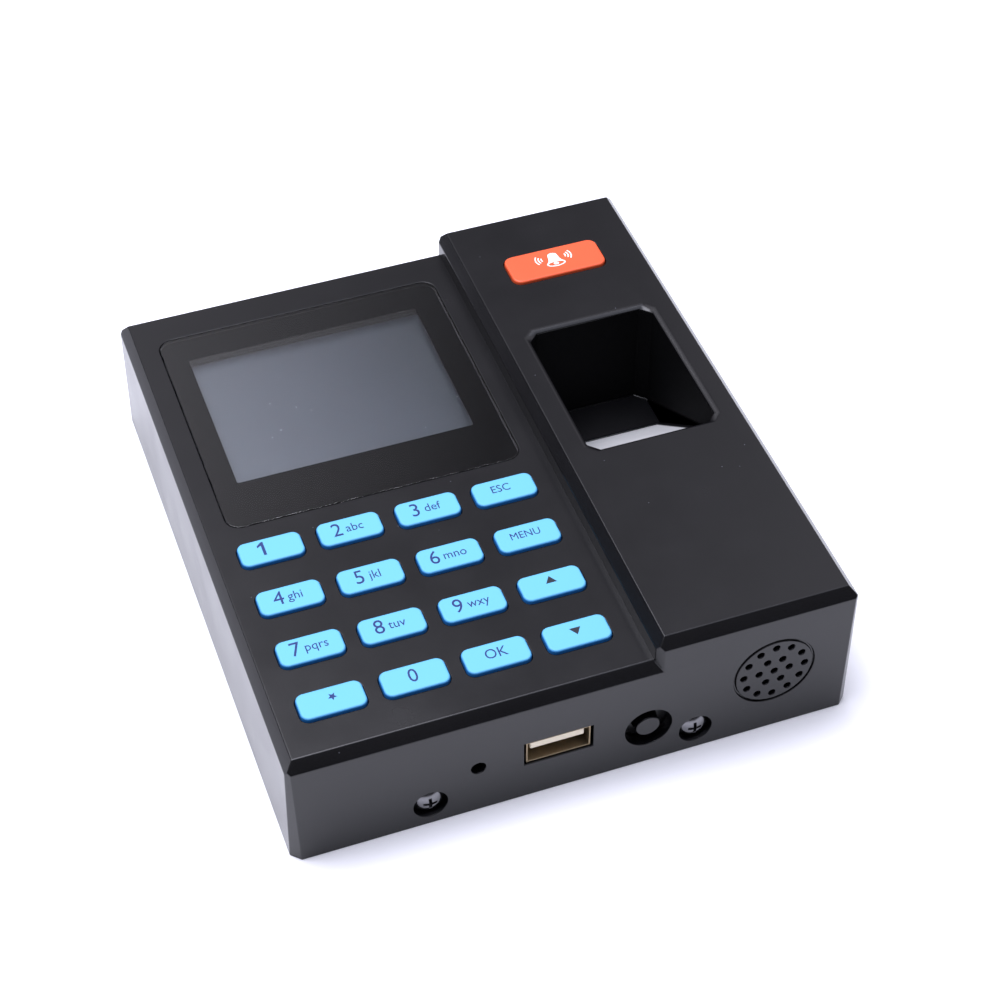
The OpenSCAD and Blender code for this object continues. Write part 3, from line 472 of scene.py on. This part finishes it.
def printed_shape(name, outlines, centre, z):
    """Flat printed outlines, in millimetres about a centre. A loop inside another is a hole."""
    shape = bpy.data.curves.new(name, "CURVE")
    shape.dimensions = "2D"
    shape.fill_mode = "BOTH"
    shape.extrude = legend_lift / 2
    for outline in outlines:
        loop = shape.splines.new("POLY")
        loop.points.add(len(outline) - 1)
        for point, (x, y) in zip(loop.points, outline):
            point.co = (x * mm, y * mm, 0, 1)
        loop.use_cyclic_u = True
    mark = bpy.data.objects.new(name, shape)
    bpy.context.scene.collection.objects.link(mark)
    select_only(mark)
    bpy.ops.object.convert(target="MESH")
    mark = bpy.context.object
    mark.location = (centre.x, centre.y, z + legend_lift)
    bpy.ops.object.transform_apply(location=True, rotation=True, scale=True)
    return mark


def arrow(name, centre, turn, z):
    """A printed triangle that points up or down the keypad."""
    bpy.ops.object.select_all(action="DESELECT")
    bpy.ops.mesh.primitive_cylinder_add(vertices=3, radius=1.25 * mm, depth=legend_lift,
                                        location=(centre.x, centre.y, z + legend_lift),
                                        rotation=(0, 0, turn))
    mark = bpy.context.object
    mark.name = name
    mark.scale = (1.05, 0.95, 1)
    bpy.ops.object.transform_apply(location=True, rotation=True, scale=True)
    return mark


# The 1 is drawn with a flag, because the font's own 1 could be read as a letter.
star_radii = [0.95 if i % 2 else 0.42 for i in range(10)]
star = [(r * math.sin(i * math.pi / 5 + math.pi), -r * math.cos(i * math.pi / 5 + math.pi))
        for i, r in enumerate(star_radii)]
digit_one = [(-0.3, -1.3), (0.3, -1.3), (0.3, 2.3), (-0.15, 2.3), (-1.1, 1.45), (-1.1, 0.95),
             (-0.3, 1.4)]

# Each row gives the key, its large sign with size and left edge, and its small letters.
key_signs = [
    ("key_1", "1", 5.0, 4.3, ""), ("key_2", "2", 5.0, 2.9, "abc"), ("key_3", "3", 5.0, 3.1, "def"),
    ("key_esc", "ESC", 2.8, 3.9, ""),
    ("key_4", "4", 5.0, 3.2, "ghi"), ("key_5", "5", 5.0, 3.4, "jkl"), ("key_6", "6", 5.0, 2.5, "mno"),
    ("key_menu", "MENU", 2.6, 3.1, ""),
    ("key_7", "7", 5.0, 2.7, "pqrs"), ("key_8", "8", 5.0, 3.0, "tuv"), ("key_9", "9", 5.0, 2.7, "wxy"),
    ("key_up", "", 0, 0, ""),
    ("key_star", "*", 0, 0, ""), ("key_0", "0", 4.6, 5.4, ""), ("key_ok", "OK", 3.4, 4.4, ""),
    ("key_down", "", 0, 0, ""),
]
# A sign's foot lies this share of its size below a line that is 0.5 mm above the key's middle.
# Small letters start to the right of the sign's left edge and stand a little below the middle.
sign_foot_share = 0.36
sign_rise = 0.5
small_size = 3.0 * mm
small_step = 2.8
small_drop = 0.75 * mm
for name, sign, sign_size, sign_left, small in key_signs:
    low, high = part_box(name)
    middle = (low + high) / 2
    cap_left = middle.x - key_size.x / 2
    cap = key_cap(name + "_cap", low, high)
    cap.data.materials.append(key_rubber)
    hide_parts(name)
    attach(cap, name)
    marks = []
    if sign == "1":
        marks.append(printed_shape("key_1_sign", [digit_one],
                                   middle + Vector((-1.4 * mm, 0, 0)), high.z))
    elif sign == "*":
        marks.append(printed_shape("key_star_sign", [star],
                                   middle + Vector((0.4 * mm, 0.6 * mm, 0)), high.z))
    elif sign:
        marks.append(printed(name + "_sign", sign, sign_size * mm, cap_left + sign_left * mm,
                             middle.y + (sign_rise - sign_foot_share * sign_size) * mm, high.z))
    if small:
        marks.append(printed(name + "_letters", small, small_size,
                             cap_left + (sign_left + small_step) * mm,
                             middle.y - small_drop, high.z))
    if name in ("key_up", "key_down"):
        turn = 0 if name == "key_up" else math.pi
        marks.append(arrow(name + "_sign", middle + Vector((0, 0.6 * mm, 0)), turn, high.z))
    for mark in marks:
        mark.data.materials.append(legend_ink if sign else arrow_ink)
        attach(mark, name)

dress(moulded("pale_silicone_sheet", "#c3c8ca", "#b4b9bb", 0.6, 0.5 * mm, 0.02 * mm), "keypad_mat")


# ---------- bell button ----------
# A satin coral-red ABS button with soft edges stands just proud of the block. Its sign, a hand
# bell with three sound waves each side, is pad printed in white.

bell_low, bell_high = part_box("bell_button")
bell_middle = (bell_low + bell_high) / 2
bell_size = Vector((21.5, 8.9)) * mm
bell_round = 2.0 * mm
bell_rim_round = 0.45 * mm
bell_flange = 1.2 * mm
flange_top = bell_low.z + bell_flange
bell_cap = rounded_block(
    "bell_cap",
    (bell_middle.x - bell_size.x / 2, bell_middle.y - bell_size.y / 2, flange_top),
    (bell_middle.x + bell_size.x / 2, bell_middle.y + bell_size.y / 2, bell_high.z),
    bell_round, bell_rim_round, 4)
bpy.ops.object.mode_set(mode="EDIT")
pick(bell_cap, "FACE", lambda f: f.normal.z < -0.9)
bpy.ops.mesh.extrude_region_move(TRANSFORM_OT_translate={"value": (0, 0, 0)})
bpy.ops.transform.resize(value=((bell_high.x - bell_low.x) / bell_size.x,
                                (bell_high.y - bell_low.y) / bell_size.y, 1),
                         center_override=(bell_middle.x, bell_middle.y, flange_top))
bpy.ops.mesh.extrude_region_move(
    TRANSFORM_OT_translate={"value": (0, 0, bell_low.z - flange_top)})
bpy.ops.mesh.select_all(action="SELECT")
bpy.ops.mesh.remove_doubles(threshold=0.001 * mm)
bpy.ops.mesh.normals_make_consistent(inside=False)
bpy.ops.object.mode_set(mode="OBJECT")
keep_flat(bell_cap)
bell_cap.data.materials.append(
    moulded("satin_coral_abs", "#e05a34", "#e0643e", 0.42, 0.4 * mm, 0.01 * mm))
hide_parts("bell_button")
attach(bell_cap, "bell")


def wave(radius, side, half=0.66, stroke=0.14):
    """One sound wave: a band of an arc on the left (-1) or the right (1) of the bell."""
    turns = [half * (i / 8 - 1) for i in range(17)]
    far, near = radius + stroke, radius - stroke
    outer = [(side * far * math.cos(t), far * math.sin(t)) for t in turns]
    inner = [(side * near * math.cos(t), near * math.sin(t)) for t in turns]
    return outer + inner[::-1]


half_bell = [(0.0, 2.3), (0.55, 2.2), (0.95, 1.85), (1.1, 1.3), (1.2, 0.5), (1.4, -0.2),
             (1.75, -0.75)]
bell_body = half_bell + [(-x, y) for x, y in half_bell[:0:-1]]
mouth_turns = [i * math.pi / 14 for i in range(28)]
mouth_outer = [(2.15 * math.cos(t), -1.3 + 0.95 * math.sin(t)) for t in mouth_turns]
mouth_inner = [(1.8 * math.cos(t), -1.35 + 0.66 * math.sin(t)) for t in mouth_turns]
clapper = [(0.6 * math.cos(t), -1.3 + 0.42 * math.sin(t)) for t in mouth_turns]
wave_x, wave_y = 2.0, 0.7
waves = [[(x + side * wave_x, y + wave_y) for x, y in wave(radius, side)]
         for side in (-1, 1) for radius in (0.8, 1.45, 2.1)]
sign_white = moulded("white_pad_print", "#f6f4f2", "#f0eeec", 0.5, 0.3 * mm, 0.002 * mm)
# The mouth and the clapper lie over the body, each a hair higher.
sign_layer = 0.004 * mm
for sign_name, outlines, lift in (("bell_sign_body", [bell_body], 0),
                                  ("bell_sign_mouth", [mouth_outer, mouth_inner], 1),
                                  ("bell_sign_clapper", [clapper], 2),
                                  ("bell_sign_waves", waves, 0)):
    mark = printed_shape(sign_name, outlines, bell_middle + Vector((0, 0.3 * mm, 0)),
                         bell_high.z + lift * sign_layer)
    mark.data.materials.append(sign_white)
    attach(mark, "bell")


# ---------- finger well ----------
# A black ABS holder forms the well's floor and the slope that carries the sensor window. The
# window is optical glass given a light grey colour with a faint cloud in it.

holder_abs = moulded("moulded_holder_abs", "#08080a", "#2a2a2e", 0.32, 0.4 * mm, 0.02 * mm)
holder_shell = merged_copy("sensor_holder", "holder_shell")
soften(holder_shell, 0.2 * mm)
holder_shell.data.materials.append(holder_abs)
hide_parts("sensor_holder")
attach(holder_shell, "case")
coated, coated_tree, coated_shader = new_material("coated_sensor_glass")
coated_place = add(coated_tree, "ShaderNodeTexCoord").outputs["Object"]
coated_cloud = add(coated_tree, "ShaderNodeTexNoise", values={"Scale": 220, "Detail": 4},
                   links={"Vector": coated_place})
coated_tone = add(coated_tree, "ShaderNodeMix", {"data_type": "RGBA"},
                  {6: linear("#c9cacb"), 7: linear("#e2e2e2")}, {0: coated_cloud.outputs[0]})
coated_tree.links.new(coated_tone.outputs[2], coated_shader.inputs["Base Color"])
coated_shader.inputs["Roughness"].default_value = 0.3
coated_shader.inputs["Coat Weight"].default_value = 0.4
dress(coated, "sensor_glass")


# ---------- lower edge: USB socket, power button and reset ----------
# The USB-A socket is a folded nickel-plated shell round a moulded ivory tongue with gold-flashed
# contacts. The power button is a plain ABS disc in the ring-shaped gap beside it.

usb_nickel = metal("nickel_plated_shell", "#9c8c72", 0.42, 0.4 * mm, (1, 5, 1))
shell_piece = merged_copy("usb_shell", "socket_shell")
soften(shell_piece, 0.06 * mm)
shell_piece.data.materials.append(usb_nickel)
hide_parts("usb_shell")
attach(shell_piece, "case")
tongue_piece = merged_copy("usb_tongue", "socket_tongue")
soften(tongue_piece, 0.25 * mm, 3)
tongue_piece.data.materials.append(
    moulded("ivory_nylon", "#fcf0d8", "#f0e0c0", 0.4, 0.4 * mm, 0.01 * mm))
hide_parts("usb_tongue")
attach(tongue_piece, "case")
gold = metal("gold_flash", "#e0b45a", 0.22, 0.3 * mm, (1, 5, 1))
dress(gold, "usb_contacts", "header_pins")

power_disc = merged_copy("power_button", "power_disc")
soften(power_disc, 0.25 * mm, 3)
power_disc.data.materials.append(case_abs)
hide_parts("power_button")
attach(power_disc, "power")
stem_pom = moulded("ivory_acetal", "#d8d4c8", "#cfcabd", 0.45, 0.4 * mm, 0.01 * mm)
dress(stem_pom, "bell_stem", "power_stem", "reset_stem")
dress(moulded("moulded_switch_body", "#101013", "#1a1a1e", 0.5, 0.5 * mm, 0.02 * mm),
      "bell_switch", "power_switch", "reset_switch")


# ---------- speaker ----------
# A 20 mm speaker behind the grille: a pressed steel basket, a black paper cone and a plated
# magnet, sealed to the case by a foam ring.

dress(moulded("black_paper_cone", "#0c0c0e", "#15151a", 0.7, 0.4 * mm, 0.05 * mm), "speaker_cone")
dress(metal("plated_basket_steel", "#8c8f92", 0.4, 0.5 * mm, (1, 1, 1)),
      "speaker_frame", "speaker_magnet")


# ---------- boards and their parts ----------
# Glass-fibre boards under green solder mask, with moulded chips, sleeved capacitors, a clock
# cell in its holder, nylon wire headers and the camera of the fingerprint reader.

dress(moulded("green_solder_mask", "#12572f", "#1d6a3d", 0.35, 0.7 * mm, 0.01 * mm),
      "main_board", "keypad_board", "bell_board", "sensor_board")
dress(moulded("moulded_chip_epoxy", "#17171a", "#232327", 0.55, 0.3 * mm, 0.02 * mm),
      "main_chips", "cell_holder", "sensor_camera")
dress(moulded("capacitor_sleeve", "#33415c", "#3b4a68", 0.3, 0.6 * mm, 0.01 * mm), "capacitors")
dress(metal("nickel_plated_cell", "#c6c7c8", 0.24, 0.4 * mm, (5, 1, 1)), "coin_cell")
dress(moulded("natural_nylon", "#e6e1d2", "#dcd6c4", 0.45, 0.5 * mm, 0.01 * mm),
      "wire_headers", "board_spacers")
